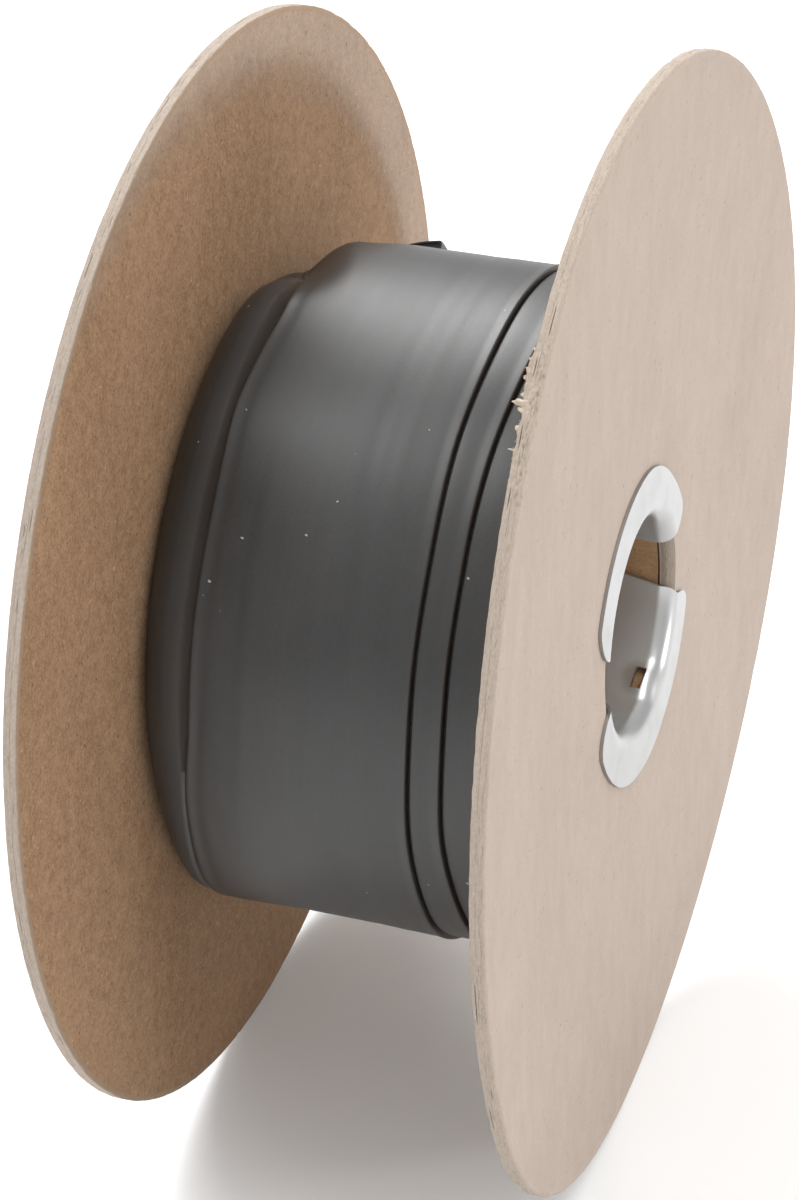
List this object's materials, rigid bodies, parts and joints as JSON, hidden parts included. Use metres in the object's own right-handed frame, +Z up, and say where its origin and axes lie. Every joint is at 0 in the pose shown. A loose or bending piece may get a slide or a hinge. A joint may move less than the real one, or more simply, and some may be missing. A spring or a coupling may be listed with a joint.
{
  "type": "reel of heat shrink tube",
  "caption": "Flattened black heat shrink tube wound on a round chipboard reel with a paper core and pressed steel ferrules in the bore.",
  "frame": {"origin": "under the reel's middle, on the surface that its two rims stand on", "axes": "+X along the reel's axis towards the near flange, +Z up, so the reel stands on its rims"},
  "size_m": [0.0672, 0.165, 0.165],
  "materials": {
    "board_near": "matte chipboard",
    "board_far": "matte chipboard",
    "core_paper": "matte kraft paper",
    "tube": "satin black polyolefin",
    "zinc_near_upper": "satin zinc plate",
    "zinc_near_lower": "satin zinc plate",
    "zinc_far_upper": "satin zinc plate",
    "zinc_far_lower": "satin zinc plate"
  },
  "bodies": {
    "root": {"flange_near": "board_near", "flange_far": "board_far", "core_tube": "core_paper", "heat_shrink_tube": "tube", "ferrule_near_upper": "zinc_near_upper", "ferrule_near_lower": "zinc_near_lower", "ferrule_far_upper": "zinc_far_upper", "ferrule_far_lower": "zinc_far_lower"}
  },
  "joints": []
}
